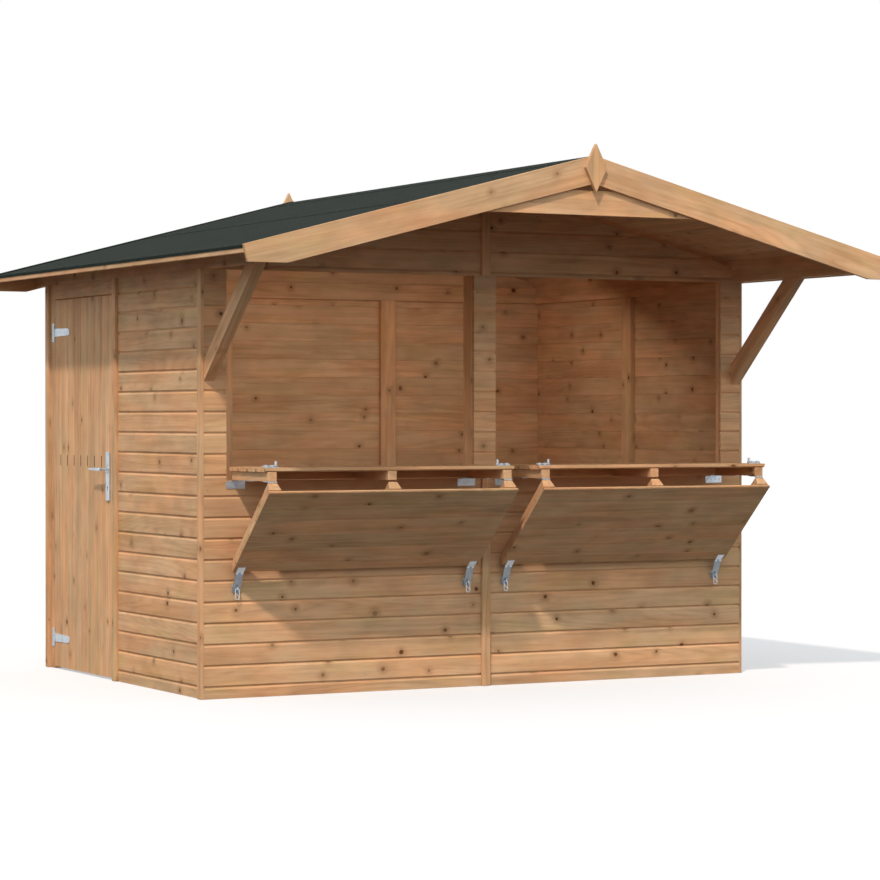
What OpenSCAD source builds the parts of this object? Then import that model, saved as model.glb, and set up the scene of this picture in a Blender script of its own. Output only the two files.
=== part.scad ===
// Market stall: boarded walls, gabled felt roof with a front canopy,
// two fold-out serving counters and a side door.

/* [Body] */
// Width over the side boards
body_w = 2968; // [2600:10:3600]
// Depth over the front and rear boards
body_d = 2030; // [1900:10:2600]
// Height of the walls
wall_h = 1990; // [1970:10:2300]
// Thickness of the wall boards
board_t = 19; // [12:1:28]
// Width of the framing boards
stud_w = 90; // [60:5:110]
// Thickness of the framing boards
stud_t = 27; // [20:1:45]
// Height of the walls above the underside of their top rails
rail_drop = 40; // [20:5:60]
// Width of the battens on the corners and joints
batten_w = 45; // [25:1:60]
// Thickness of the battens on the corners and joints
batten_t = 16; // [8:1:25]

/* [Serving openings] */
// Height of the sill above the ground
sill_z = 1010; // [850:10:1100]
// Width of the boarded post between the openings
post_w = 120; // [100:5:250]
// Width of the boarded stile beside each opening
stile_w = 114; // [112:1:250]
// Gap at the ends and the foot of a closed hatch
hatch_gap = 9; // [6:1:15]
// Gap over a closed hatch
hatch_head_gap = 24; // [12:1:40]

/* [Counters] */
// Slope of the lowered support leaf from level, in degrees
support_slant = 42.8; // [35:0.1:55]
// Thickness of the leaf boards
leaf_t = 19; // [12:1:28]
// Height of the leaf battens
leaf_batten_h = 42; // [30:1:50]
// Width of the counter battens
leaf_batten_w = 45; // [42:1:70]
// Width of the support battens where they meet the boards
support_batten_w = 64; // [50:1:90]
// Distance from the end of a leaf to its end batten
leaf_batten_inset = 13; // [0:1:40]
// Gap between the two leaves at their fold
fold_gap = 5; // [5:1:12]
// Gap between the lowered support leaf and the wall
rest_gap = 6; // [5:1:15]

/* [Roof] */
// Slope of the roof in degrees
roof_pitch = 14.5; // [10:0.5:22]
// Height of the wall plates at their outer face
plate_h = 95; // [70:5:140]
// Gap between the gable boards and the roof boards
gable_gap = 30; // [5:1:40]
// Overhang of the eaves beyond the side boards
eave_run = 256; // [150:2:350]
// Overhang of the roof in front of the front wall
front_run = 1020; // [700:10:1100]
// Overhang of the roof behind the rear wall
rear_run = 190; // [100:10:300]
// Thickness of the roof boards
roof_board_t = 16; // [10:1:25]
// Thickness of the roof felt
felt_t = 3; // [2:0.5:5]
// Gap between the sloping layers of the roof
layer_gap = 0.05; // [0.05:0.05:0.5]
// Drop of the felt over the eaves board
felt_drop = 10; // [5:1:30]
// Height of the eaves boards
eaves_board_h = 30; // [20:1:60]
// Thickness of the eaves boards
eaves_board_t = 16; // [8:1:25]
// Width of the barge boards, square to the slope
barge_w = 125; // [90:5:180]
// Thickness of the barge boards
barge_t = 18; // [12:1:28]
// Height of the square cut at the foot of a barge board
barge_foot_h = 76; // [50:2:88]
// Rise of the barge boards above the felt
barge_rise = 4; // [0:1:15]
// Height of the collar board
collar_h = 112; // [70:2:140]
// Height of the collar board's lower edge below the roof boards at the ridge
collar_drop = 248; // [180:2:300]
// Half length of the collar board
collar_reach = 640; // [560:10:700]
// Width of a finial
finial_w = 112; // [80:2:160]
// Height of a finial
finial_h = 220; // [160:5:300]
// Thickness of a finial
finial_t = 20; // [12:1:30]
// Height of a finial's middle below the roof ridge
finial_drop = 54; // [30:1:80]
// Height of a brace from its foot to its head
brace_rise = 520; // [400:10:640]
// Distance of a brace's head from the front wall
brace_run = 575; // [400:5:650]
// Depth of a brace
brace_h = 74; // [45:1:100]
// Width of a brace
brace_w = 52; // [35:1:70]

/* [Door] */
// Distance from the rear of the stall to the door opening
rear_post_w = 100; // [90:5:200]
// Width of the door opening
doorway_w = 830; // [750:5:860]
// Height of the header over the door opening
header_h = 75; // [60:5:120]
// Gap round the door
door_gap = 6; // [5:1:8]
// Gap under the door
door_foot_gap = 10; // [6:1:30]
// Thickness of the door boards
door_t = 19; // [12:1:28]
// Width of the front door jamb
jamb_w = 45; // [28:1:90]
// Height of the door ledges
ledge_h = 95; // [70:5:130]
// Thickness of the door ledges
ledge_t = 22; // [16:1:30]
// Distance from the foot or head of the door to the middle of a ledge
ledge_inset = 140; // [80:5:250]
// Distance from the edges of the door to its ledges
ledge_end = 15; // [5:1:40]
// Distance of the middle of the upper door hinge below the header
upper_hinge_drop = 172; // [120:1:300]
// Height of the middle of the lower door hinge
lower_hinge_z = 160; // [120:1:400]

/* [Door handle] */
// Height of the lever above the ground
lever_z = 1045; // [950:5:1100]
// Distance from the door's free edge to the lever's pivot
lever_inset = 70; // [40:1:90]
// Length of the lever
lever_l = 135; // [100:5:150]
// Distance from the plate to the lever
lever_reach = 52; // [30:1:70]
// Thickness of the lever's spindle
lever_t = 12; // [8:1:16]
// Thickness of the grip at its root
grip_root_t = 20; // [14:1:24]
// Thickness of the grip at its tip
grip_tip_t = 10; // [6:1:14]
// Height of the handle plate
handle_plate_h = 240; // [180:5:260]
// Width of the handle plate
handle_plate_w = 48; // [36:1:60]
// Thickness of the handle plate
handle_plate_t = 8; // [3:1:12]
// Height of the lever above the plate's lower edge
handle_plate_foot = 155; // [100:5:170]
// Radius of the rose round the spindle
rose_r = 19; // [14:1:22]
// Height of the rose over the handle plate
rose_rise = 5; // [2:1:8]
// Clearance of the spindle in its rose
spindle_gap = 0.3; // [0.1:0.1:0.5]

/* [Hinges] */
// Thickness of the hinge plates
hinge_t = 3; // [2:0.5:4]
// Length of a hinge's fixed plate
hinge_plate_l = 96; // [70:2:120]
// Width of a hinge's fixed plate
hinge_plate_w = 34; // [24:1:50]
// Length of a hinge strap
strap_l = 205; // [150:5:260]
// Width of a hinge strap at its root
strap_root_w = 42; // [32:1:45]
// Width of a hinge strap at its tip
strap_tip_w = 36; // [16:1:40]
// Radius of a hinge knuckle
knuckle_r = 3.5; // [3.5:0.5:5]
// Radius of a hinge pin
pin_r = 1.9; // [1.5:0.1:2.4]
// Clearance of a hinge pin in its moving knuckle
pin_gap = 0.3; // [0.1:0.1:0.5]
// Clearance between the knuckles of a hinge
knuckle_gap = 0.4; // [0.3:0.1:1]
// Length of a fold hinge plate
fold_plate_l = 60; // [40:2:80]

/* [Hasps and bolts] */
// Distance from the end of the support leaf to the hasp's pin
hasp_overhang = 11; // [6:1:20]
// Gap between the end of a hanging hasp and the wall
hasp_gap = 8; // [7:1:12]
// Width of a hasp
hasp_w = 38; // [34:1:50]
// Length of the hasp plate on the support leaf
hasp_plate_l = 32; // [24:1:40]
// Slope of a hasp strap from upright, in degrees
hasp_tilt = 22; // [18:1:34]
// Width of the slot in a hasp strap
hasp_slot_w = 12; // [10:1:16]
// Length of the slot in a hasp strap
hasp_slot_l = 36; // [32:1:40]
// Distance from the slot to the end of a hasp strap
hasp_slot_end = 6; // [4:1:10]
// Distance from a hasp's middle to the end of its leaf
hasp_inset = 36; // [30:1:60]
// Radius of the staple wire
staple_r = 2.5; // [2:0.5:3]
// Distance from the upper end of a hasp's slot to its staple
staple_drop = 20; // [14:1:26]
// Reach of a staple in front of its hasp
staple_reach = 9; // [6:1:12]
// Height of a staple between its wires
staple_h = 10; // [8:1:14]
// Height of a staple's plate
staple_plate_h = 32; // [28:1:44]
// Length of a barrel bolt's plate
bolt_plate_l = 70; // [50:2:100]
// Width of a barrel bolt's plate
bolt_plate_w = 28; // [20:1:36]
// Thickness of the plates under the bolts and staples
bolt_plate_t = 2; // [1.5:0.5:3]
// Distance from a barrel bolt's middle to the counter's fold
bolt_inset = 40; // [30:1:70]
// Radius of the sliding bolt
bolt_r = 4; // [3:0.5:5]
// Height of the bolt's middle over its plate
bolt_rise = 5; // [4:0.5:8]
// Length of a bolt's keeper
keeper_l = 12; // [8:1:16]
// Wall of a keeper round its bolt
keeper_wall = 2; // [1:0.5:3]
// Distance from the end of the bolt's plate to a keeper
keeper_inset = 6; // [2:1:10]
// Radius of the bolt's knob
bolt_knob_r = 6; // [4:0.5:9]
// Distance from the end of the bolt's plate to the knob
bolt_knob_inset = 3; // [1:0.5:6]
// Height of the knob over the bolt's middle
bolt_knob_h = 22; // [14:1:30]

/* [Hidden] */
$fn = 32;

// Walls: the front face of the front boards is at y = 0 before the whole stall
// is moved so that its origin lies under the middle of its box
half_w = body_w / 2;
inner_x = half_w - board_t;
wall_t = board_t + stud_t;
frame_x = half_w - wall_t;
rear_frame_y = body_d - wall_t;
rail_z = wall_h - rail_drop;
opening_out_x = half_w - stile_w;
opening_in_x = post_w / 2;
opening_w = opening_out_x - opening_in_x;
opening_h = wall_h - sill_z;
rear_stud_x = body_w / 6;

// Roof: heights of the underside of the roof boards
slope = tan(roof_pitch);
ridge_under_z = wall_h + plate_h + half_w * slope;
roof_half_w = half_w + eave_run;
board_rise = roof_board_t / cos(roof_pitch);
felt_rise = felt_t / cos(roof_pitch);
ridge_top_z = ridge_under_z + board_rise + felt_rise;
roof_board_x = roof_half_w - eaves_board_t;
roof_front_y = barge_t - front_run;
roof_rear_y = body_d + rear_run - barge_t;
stall_front_y = -front_run - finial_t;
stall_rear_y = body_d + rear_run + finial_t;
barge_rise_z = barge_w / cos(roof_pitch);
brace_angle = atan(brace_rise / brace_run);

// Hatches: the leaves are drawn closed, upright in the opening, and then folded out
leaf_w = opening_w - 2 * hatch_gap;
leaf_mid_x = (opening_out_x + opening_in_x) / 2;
both_leaves_l = opening_h - hatch_head_gap;
counter_l = (both_leaves_l * cos(support_slant) + rest_gap - knuckle_r) / (1 + cos(support_slant));
support_l = both_leaves_l - counter_l;
batten_face = knuckle_r;
board_face = batten_face + leaf_batten_h;
inner_face = board_face + leaf_t;
leaf_batten_x = leaf_w / 2 - leaf_batten_inset - leaf_batten_w / 2;
hasp_x = leaf_w / 2 - hasp_inset;

// Hasp knuckle in the lowered support leaf, and its place in front of the wall
hasp_pin_y = inner_face + knuckle_r;
hasp_pin_z = support_l + hasp_overhang;
lower_turn = 270 - support_slant;
hasp_wall_y = -knuckle_r - counter_l + hasp_pin_y * cos(lower_turn) - hasp_pin_z * sin(lower_turn);
hasp_wall_z = sill_z + hasp_pin_y * sin(lower_turn) + hasp_pin_z * cos(lower_turn);
hasp_l = (-hasp_wall_y - hasp_gap) / sin(hasp_tilt);
hasp_slot_from = hasp_l - hasp_slot_end - hasp_slot_l;
staple_at = hasp_slot_from + staple_drop;
staple_z = hasp_wall_z - staple_at * cos(hasp_tilt);
staple_l = staple_reach - hasp_wall_y - staple_at * sin(hasp_tilt);

// Door
doorway_h = wall_h - header_h;
door_end_y = body_d - rear_post_w;
door_y = door_end_y - doorway_w;
door_w = doorway_w - 2 * door_gap;
door_h = doorway_h - door_gap - door_foot_gap;
door_free_y = door_y + door_gap;
door_axis_y = door_end_y - door_gap / 2;
ledge_places = [ledge_inset, door_h / 2, door_h - ledge_inset];
rose_h = handle_plate_t + rose_rise;
spindle_bore_r = lever_t / 2 + spindle_gap;

// Height of the underside of the roof boards at a distance from the ridge
function under_z(x) = ridge_under_z - abs(x) * slope;

// Moves the stall so that its origin lies under the middle of its box
module placed() {
    translate([0, -(stall_front_y + stall_rear_y) / 2, 0]) children();
}

// Box between two corners
module block(low, high) {
    translate(low) cube(high - low);
}

// Outline in the XZ plane, with its front face at y and its thickness going back
module upright(y, thickness) {
    translate([0, y + thickness, 0]) rotate([90, 0, 0]) linear_extrude(thickness) children();
}

// Copies on both sides of the stall
module both_sides() {
    for (side = [0, 1]) mirror([side, 0, 0]) children();
}

module timber() { color("peru") placed() children(); }
module steel() { color("lightsteelblue") placed() children(); }

// Walls

module front_lower_wall() {
    timber() block([-half_w, 0, 0], [half_w, board_t, sill_z]);
}

// Boards beside and between the serving openings
module front_stiles() {
    timber() {
        both_sides() block([opening_out_x, 0, sill_z], [half_w, board_t, wall_h]);
        block([-opening_in_x, 0, sill_z], [opening_in_x, board_t, wall_h]);
    }
}

// Boards between the wall plates, from the top of a wall to a gap under the roof
module gable_outline() {
    top = under_z(0) - gable_gap;
    shoulder = under_z(frame_x) - gable_gap;
    polygon([
        [-frame_x, wall_h], [frame_x, wall_h], [frame_x, shoulder], [0, top], [-frame_x, shoulder]
    ]);
}

module front_gable() {
    timber() upright(0, board_t) gable_outline();
}

module rear_gable() {
    timber() upright(body_d - board_t, board_t) gable_outline();
}

module rear_wall() {
    timber() block([-half_w, body_d - board_t, 0], [half_w, body_d, wall_h]);
}

module left_wall() {
    timber() block([-half_w, board_t, 0], [-inner_x, door_y - jamb_w, wall_h]);
}

module right_wall() {
    timber() block([inner_x, board_t, 0], [half_w, body_d - board_t, wall_h]);
}

// Door frame

module door_jambs() {
    timber() {
        block([-half_w, door_y - jamb_w, 0], [-inner_x, door_y, wall_h]);
        block([-half_w, door_y - jamb_w, 0], [-frame_x, door_y, rail_z]);
        block([-half_w, door_end_y, 0], [-frame_x, body_d - board_t, wall_h]);
    }
}

module door_header() {
    timber() {
        block([-half_w, door_y, doorway_h], [-inner_x, door_end_y, wall_h]);
        block([-half_w, door_y, doorway_h], [-frame_x, door_end_y, rail_z]);
    }
}

// Framing

module wall_studs() {
    timber() {
        both_sides() block([frame_x, board_t, 0], [inner_x, board_t + stud_w, wall_h]);
        block([frame_x, (body_d - stud_w) / 2, stud_w], [inner_x, (body_d + stud_w) / 2, rail_z]);
        for (x = [-rear_stud_x, rear_stud_x])
            block([x - stud_w / 2, rear_frame_y, stud_w],
                  [x + stud_w / 2, body_d - board_t, rail_z]);
    }
}

// Flat studs at the outer ends of the openings, and studs on edge at the post
module opening_studs() {
    timber() both_sides() {
        block([opening_out_x, board_t, stud_w], [frame_x, wall_t, wall_h]);
        block([opening_in_x - stud_t, board_t, 0], [opening_in_x, board_t + stud_w, wall_h]);
    }
}

module cross_rails() {
    timber() {
        both_sides() {
            block([opening_in_x, board_t, 0], [frame_x, wall_t, stud_w]);
            block([opening_in_x, board_t, sill_z - stud_w], [opening_out_x, wall_t, sill_z]);
        }
        block([-frame_x, board_t, wall_h], [frame_x, wall_t, wall_h + stud_w]);
        block([-frame_x, rear_frame_y, 0], [inner_x, body_d - board_t, stud_w]);
        block([-frame_x, rear_frame_y, rail_z], [frame_x, body_d - board_t, rail_z + stud_w]);
    }
}

module side_rails() {
    rail_from_y = board_t + stud_w;
    timber() {
        block([frame_x, rail_from_y, 0], [inner_x, rear_frame_y, stud_w]);
        block([frame_x, rail_from_y, rail_z], [inner_x, body_d - board_t, wall_h]);
        block([-inner_x, rail_from_y, 0], [-frame_x, door_y - jamb_w, stud_w]);
        block([-inner_x, rail_from_y, rail_z], [-frame_x, door_end_y, wall_h]);
    }
}

module cover_battens() {
    timber() {
        both_sides() {
            block([half_w, 0, 0], [half_w + batten_t, batten_w, wall_h]);
            block([half_w, body_d - batten_w, 0], [half_w + batten_t, body_d, wall_h]);
        }
        block([-half_w - batten_t, door_y - jamb_w, 0], [-half_w, door_y, wall_h]);
        block([-batten_w / 2, -batten_t, 0], [batten_w / 2, 0, sill_z]);
        upright(-batten_t, batten_t) polygon([
            [-batten_w / 2, wall_h], [batten_w / 2, wall_h],
            [batten_w / 2, under_z(batten_w / 2)], [0, under_z(0)],
            [-batten_w / 2, under_z(batten_w / 2)]
        ]);
    }
}

// Roof

module wall_plates() {
    timber() both_sides() upright(roof_front_y, roof_rear_y - roof_front_y) polygon([
        [frame_x, wall_h], [half_w, wall_h], [half_w, under_z(half_w)], [frame_x, under_z(frame_x)]
    ]);
}

// Sheet on the right slope, from the ridge to a distance, between two heights above the walls' tops
module slope_sheet(reach, low, high) {
    upright(roof_front_y, roof_rear_y - roof_front_y) polygon([
        [0, under_z(0) + low], [reach, under_z(reach) + low],
        [reach, under_z(reach) + high], [0, under_z(0) + high]
    ]);
}

module roof_boards_right() {
    timber() slope_sheet(roof_board_x, layer_gap, board_rise);
}

module roof_boards_left() {
    timber() mirror([1, 0, 0]) slope_sheet(roof_board_x, layer_gap, board_rise);
}

module felt_sheet() {
    slope_sheet(roof_half_w, board_rise + layer_gap, board_rise + felt_rise);
    edge_z = under_z(roof_half_w) + board_rise;
    block([roof_half_w, roof_front_y, edge_z - felt_drop],
          [roof_half_w + felt_t, roof_rear_y, edge_z + felt_rise]);
}

module roof_felt_right() {
    color("dimgray") placed() felt_sheet();
}

module roof_felt_left() {
    color("dimgray") placed() mirror([1, 0, 0]) felt_sheet();
}

module eaves_boards() {
    top_out = under_z(roof_half_w) + board_rise;
    top_in = under_z(roof_board_x) + board_rise;
    timber() both_sides() upright(roof_front_y, roof_rear_y - roof_front_y) polygon([
        [roof_board_x, top_out - eaves_board_h], [roof_half_w, top_out - eaves_board_h],
        [roof_half_w, top_out], [roof_board_x, top_in]
    ]);
}

// Barge board on the right slope, cut upright at the ridge, and square and level at its foot
module barge_outline() {
    reach = roof_half_w + felt_t;
    top = ridge_top_z + barge_rise;
    foot_top = top - reach * slope;
    foot_z = foot_top - barge_foot_h;
    polygon([
        [0, top], [reach, foot_top], [reach - barge_foot_h * slope, foot_z],
        [(top - barge_rise_z - foot_z) / slope, foot_z], [0, top - barge_rise_z]
    ]);
}

module front_barge_right() { timber() upright(-front_run, barge_t) barge_outline(); }
module front_barge_left() { timber() upright(-front_run, barge_t) mirror([1, 0]) barge_outline(); }
module rear_barge_right() { timber() upright(roof_rear_y, barge_t) barge_outline(); }
module rear_barge_left() { timber() upright(roof_rear_y, barge_t) mirror([1, 0]) barge_outline(); }

// Collar board behind the front barge boards, with its ends cut to the roof
module collar_board() {
    foot_z = ridge_under_z - collar_drop;
    top_z = foot_z + collar_h;
    top_x = (under_z(0) - top_z) / slope;
    timber() upright(roof_front_y, barge_t) polygon([
        [-collar_reach, foot_z], [collar_reach, foot_z], [collar_reach, under_z(collar_reach)],
        [top_x, top_z], [-top_x, top_z], [-collar_reach, under_z(collar_reach)]
    ]);
}

// Diamond boards over the joints of the barge boards
module finials() {
    mid_z = ridge_top_z - finial_drop;
    timber() for (y = [stall_front_y, stall_rear_y - finial_t]) upright(y, finial_t) polygon([
        [0, mid_z - finial_h / 2], [finial_w / 2, mid_z],
        [0, mid_z + finial_h / 2], [-finial_w / 2, mid_z]
    ]);
}

// Braces from the front wall to the wall plates, cut upright at the foot and level at the head
module braces() {
    foot_z = wall_h - brace_rise;
    foot_h = brace_h / cos(brace_angle);
    head_l = brace_h / sin(brace_angle);
    timber() both_sides() translate([half_w, 0, 0]) rotate([90, 0, -90])
        linear_extrude(brace_w) polygon([
            [0, foot_z], [brace_run, wall_h], [brace_run - head_l, wall_h], [0, foot_z + foot_h]
        ]);
}

// Hinges: drawn with the pin along X, the fixed plate hanging down on the face y = 0
// and the strap standing up on it

// Knuckle of a hinge round its pin, between two distances along the pin
module knuckle(from, to) {
    translate([from, -knuckle_r, 0]) rotate([0, 90, 0]) cylinder(h = to - from, r = knuckle_r);
}

// Fixed plate with two knuckles that hold the pin
module hinge_fixed(length, width, root = strap_root_w) {
    third = root / 6;
    half = root / 2;
    difference() {
        block([-length / 2, -hinge_t, -width - knuckle_r], [length / 2, 0, 0]);
        block([-third - knuckle_gap, -2 * hinge_t, -knuckle_r - knuckle_gap],
              [third + knuckle_gap, hinge_t, hinge_t]);
        for (side = [-1, 1]) translate([side * (length + root) / 2, 0, 0])
            cube([length, 4 * hinge_t, 2 * knuckle_r], center = true);
    }
    knuckle(-half, -third - knuckle_gap);
    knuckle(third + knuckle_gap, half);
    translate([-half, -knuckle_r, 0]) rotate([0, 90, 0]) cylinder(h = 2 * half, r = pin_r);
}

// Plate that swings on the pin, with an outline that starts clear of the fixed knuckles
module hinge_moving(root = strap_root_w) {
    third = root / 6;
    difference() {
        union() {
            knuckle(-third, third);
            block([-third, -hinge_t, 0], [third, 0, 2 * knuckle_r]);
            translate([0, 0, knuckle_r + knuckle_gap]) rotate([90, 0, 0])
                linear_extrude(hinge_t) children();
        }
        translate([-third - 1, -knuckle_r, 0]) rotate([0, 90, 0])
            cylinder(h = 2 * third + 2, r = pin_r + pin_gap);
    }
}

// Tapered strap with a round tip
module strap_outline() {
    polygon([
        [-strap_root_w / 2, 0], [strap_root_w / 2, 0],
        [strap_tip_w / 2, strap_l - strap_tip_w / 2], [-strap_tip_w / 2, strap_l - strap_tip_w / 2]
    ]);
    translate([0, strap_l - strap_tip_w / 2]) circle(d = strap_tip_w);
}

// Strap of a hasp with its slot, from where it is clear of the fixed knuckles
module hasp_outline() {
    root_z = knuckle_r + knuckle_gap;
    difference() {
        translate([-hasp_w / 2, 0]) square([hasp_w, hasp_l - root_z]);
        translate([-hasp_slot_w / 2, hasp_slot_from - root_z]) square([hasp_slot_w, hasp_slot_l]);
    }
}

// Plate of a fold hinge
module fold_outline() {
    translate([-strap_root_w / 2, 0]) square([strap_root_w, fold_plate_l]);
}

// Door hinges: pin upright, fixed plate to the rear, strap to the front
module door_hinge_places() {
    for (z = [lower_hinge_z, doorway_h - upper_hinge_drop])
        translate([-half_w, door_axis_y, z]) rotate([90, 90, 0]) children();
}

// Fixed hinge plates and hasp staples on the walls
module wall_fittings() {
    steel() {
        door_hinge_places() hinge_fixed(hinge_plate_l, hinge_plate_w);
        for (side = [-1, 1]) for (end = [-1, 1]) {
            translate([side * leaf_mid_x + end * leaf_batten_x, 0, sill_z])
                hinge_fixed(hinge_plate_l, hinge_plate_w);
            translate([side * leaf_mid_x + end * hasp_x, 0, staple_z]) staple();
        }
    }
}

// Door

module door_boards() {
    timber() block([-half_w, door_free_y, door_foot_gap],
                   [-half_w + door_t, door_free_y + door_w, door_foot_gap + door_h]);
}

// Places a piece on the inner face of the door, X along the door and Y up it
module door_inside() {
    placed() translate([-half_w + door_t, door_free_y, door_foot_gap]) rotate([90, 0, 90]) children();
}

module door_ledges() {
    color("peru") door_inside() for (z = ledge_places)
        translate([ledge_end, z - ledge_h / 2, 0]) cube([door_w - 2 * ledge_end, ledge_h, ledge_t]);
}

// Diagonal braces between the ledges, rising from the hinge side to the lock side
module door_braces() {
    rise = ledge_places[1] - ledge_places[0] - ledge_h;
    color("peru") door_inside() for (i = [0, 1])
        translate([0, ledge_places[i] + ledge_h / 2, 0]) linear_extrude(ledge_t) polygon([
            [door_w - ledge_end - ledge_h, 0], [door_w - ledge_end, 0],
            [ledge_end + ledge_h, rise], [ledge_end, rise]
        ]);
}

// Door straps and the handle plate with its fixed rose
module door_fittings() {
    steel() {
        door_hinge_places() hinge_moving() strap_outline();
        lever_place() difference() {
            union() {
                block([-handle_plate_w / 2, -handle_plate_t, -handle_plate_foot],
                      [handle_plate_w / 2, 0, handle_plate_h - handle_plate_foot]);
                rotate([90, 0, 0]) cylinder(h = rose_h, r = rose_r);
            }
            rotate([90, 0, 0]) cylinder(h = 3 * rose_h, r = spindle_bore_r, center = true);
        }
    }
}

// Places the lever's pivot at the origin, with the door's outer face at y = 0 and its front at -x
module lever_place() {
    translate([-half_w, door_free_y + lever_inset, lever_z]) rotate([0, 0, -90]) children();
}

// Lever: spindle, and a tapered grip that points to the hinge side
module door_lever() {
    steel() lever_place() {
        rotate([90, 0, 0]) cylinder(h = lever_reach, r = lever_t / 2);
        translate([0, -lever_reach, 0]) rotate([0, -90, 0])
            cylinder(h = lever_l, r1 = grip_root_t / 2, r2 = grip_tip_t / 2);
        translate([0, -lever_reach, 0]) sphere(r = grip_root_t / 2);
        translate([-lever_l, -lever_reach, 0]) sphere(r = grip_tip_t / 2);
    }
}

// Hatches

// Places a closed leaf's pieces on the counter hinge, folded out level
module counter_place(side) {
    placed() translate([side * leaf_mid_x, -knuckle_r, sill_z]) rotate([90, 0, 0]) children();
}

// Places a closed leaf's pieces on the fold hinge, folded back to the wall
module support_place(side) {
    counter_place(side) translate([0, 0, counter_l]) rotate([180 - support_slant, 0, 0]) children();
}

module counter_boards(side) {
    color("burlywood") counter_place(side)
        block([-leaf_w / 2, board_face, hatch_gap], [leaf_w / 2, inner_face, counter_l - fold_gap / 2]);
}

module counter_battens(side) {
    color("peru") counter_place(side) for (x = [-leaf_batten_x, 0, leaf_batten_x])
        block([x - leaf_batten_w / 2, batten_face, hatch_gap],
              [x + leaf_batten_w / 2, board_face, counter_l - fold_gap / 2]);
}

module counter_fittings(side) {
    color("lightsteelblue") counter_place(side) {
        for (x = [-leaf_batten_x, leaf_batten_x]) {
            translate([x, knuckle_r, 0]) hinge_moving() strap_outline();
            translate([x, knuckle_r, counter_l]) hinge_fixed(strap_root_w, fold_plate_l);
        }
        for (end = [0, 1]) mirror([end, 0, 0])
            translate([leaf_w / 2, inner_face, counter_l - bolt_inset]) barrel_bolt();
    }
}

module support_boards(side) {
    color("burlywood") support_place(side)
        block([-leaf_w / 2, board_face, fold_gap / 2], [leaf_w / 2, inner_face, support_l]);
}

// Battens of the support leaf, with sloping sides
module support_battens(side) {
    color("peru") support_place(side) for (x = [-leaf_batten_x, 0, leaf_batten_x])
        translate([x, 0, fold_gap / 2]) linear_extrude(support_l - fold_gap / 2) polygon([
            [-leaf_batten_w / 2, batten_face], [leaf_batten_w / 2, batten_face],
            [support_batten_w / 2, board_face], [-support_batten_w / 2, board_face]
        ]);
}

module support_fittings(side) {
    color("lightsteelblue") support_place(side) {
        for (x = [-leaf_batten_x, leaf_batten_x])
            translate([x, knuckle_r, 0]) hinge_moving() fold_outline();
    }
    color("lightsteelblue") hasp_places(side)
        hinge_fixed(hasp_w, hasp_plate_l + hasp_overhang - knuckle_r, hasp_w);
}

// Hasps: drawn with the pin along X and the fixed plate on the inner face of the support leaf
module hasp_places(side) {
    support_place(side) for (x = [-hasp_x, hasp_x])
        translate([x, inner_face, hasp_pin_z]) rotate([0, 0, 180]) children();
}

// Straps of the hasps, leaning back to the wall
module hasp_straps(side) {
    color("lightsteelblue") hasp_places(side) translate([0, -knuckle_r, 0])
        rotate([90 - support_slant - hasp_tilt, 0, 0]) translate([0, knuckle_r, 0])
            hinge_moving(hasp_w) hasp_outline();
}

// Barrel bolt on the face y = 0, its end at x = 0 and its plate towards -x
module barrel_bolt() {
    plate_x = -bolt_plate_l - hatch_gap;
    keeper_r = bolt_r + keeper_wall;
    rod_y = bolt_plate_t + bolt_rise;
    rod_l = bolt_plate_l + hatch_gap / 2;
    block([plate_x, 0, -bolt_plate_w / 2], [-hatch_gap, bolt_plate_t, bolt_plate_w / 2]);
    for (x = [plate_x + bolt_plate_l / 2 - keeper_l, -hatch_gap - keeper_inset - keeper_l])
        block([x, 0, -keeper_r], [x + keeper_l, rod_y + keeper_r, keeper_r]);
    translate([plate_x, rod_y, 0]) rotate([0, 90, 0]) cylinder(h = rod_l, r = bolt_r);
    translate([plate_x + bolt_knob_inset + bolt_knob_r, rod_y, 0]) rotate([-90, 0, 0])
        cylinder(h = bolt_knob_h, r = bolt_knob_r);
}

// Staple plate and loop on the wall behind a hasp
module staple() {
    block([-hasp_w / 2, -bolt_plate_t, -staple_plate_h / 2], [hasp_w / 2, 0, staple_plate_h / 2]);
    for (z = [-staple_h / 2, staple_h / 2])
        translate([0, 0, z]) rotate([90, 0, 0]) cylinder(h = staple_l, r = staple_r);
    translate([0, -staple_l, -staple_h / 2 - staple_r]) cylinder(h = staple_h + 2 * staple_r, r = staple_r);
}

module counter_left() { counter_boards(-1); }
module counter_right() { counter_boards(1); }
module counter_left_battens() { counter_battens(-1); }
module counter_right_battens() { counter_battens(1); }
module counter_left_fittings() { counter_fittings(-1); }
module counter_right_fittings() { counter_fittings(1); }
module support_left() { support_boards(-1); }
module support_right() { support_boards(1); }
module support_left_battens() { support_battens(-1); }
module support_right_battens() { support_battens(1); }
module support_left_fittings() { support_fittings(-1); }
module support_right_fittings() { support_fittings(1); }
module hasps_left() { hasp_straps(-1); }
module hasps_right() { hasp_straps(1); }

front_lower_wall();
front_stiles();
front_gable();
left_wall();
right_wall();
rear_wall();
rear_gable();
door_jambs();
door_header();
wall_studs();
opening_studs();
cross_rails();
side_rails();
cover_battens();
wall_plates();
roof_boards_left();
roof_boards_right();
roof_felt_left();
roof_felt_right();
eaves_boards();
front_barge_left();
front_barge_right();
rear_barge_left();
rear_barge_right();
collar_board();
finials();
braces();
wall_fittings();
door_boards();
door_ledges();
door_braces();
door_fittings();
door_lever();
counter_left();
counter_left_battens();
counter_left_fittings();
support_left();
support_left_battens();
support_left_fittings();
hasps_left();
counter_right();
counter_right_battens();
counter_right_fittings();
support_right();
support_right_battens();
support_right_fittings();
hasps_right();
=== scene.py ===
"""Looks of the market stall: boards, felt, fixings, finishes and stage."""

import math
import random

import bmesh
import bpy
from mathutils import Matrix, Vector


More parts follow.
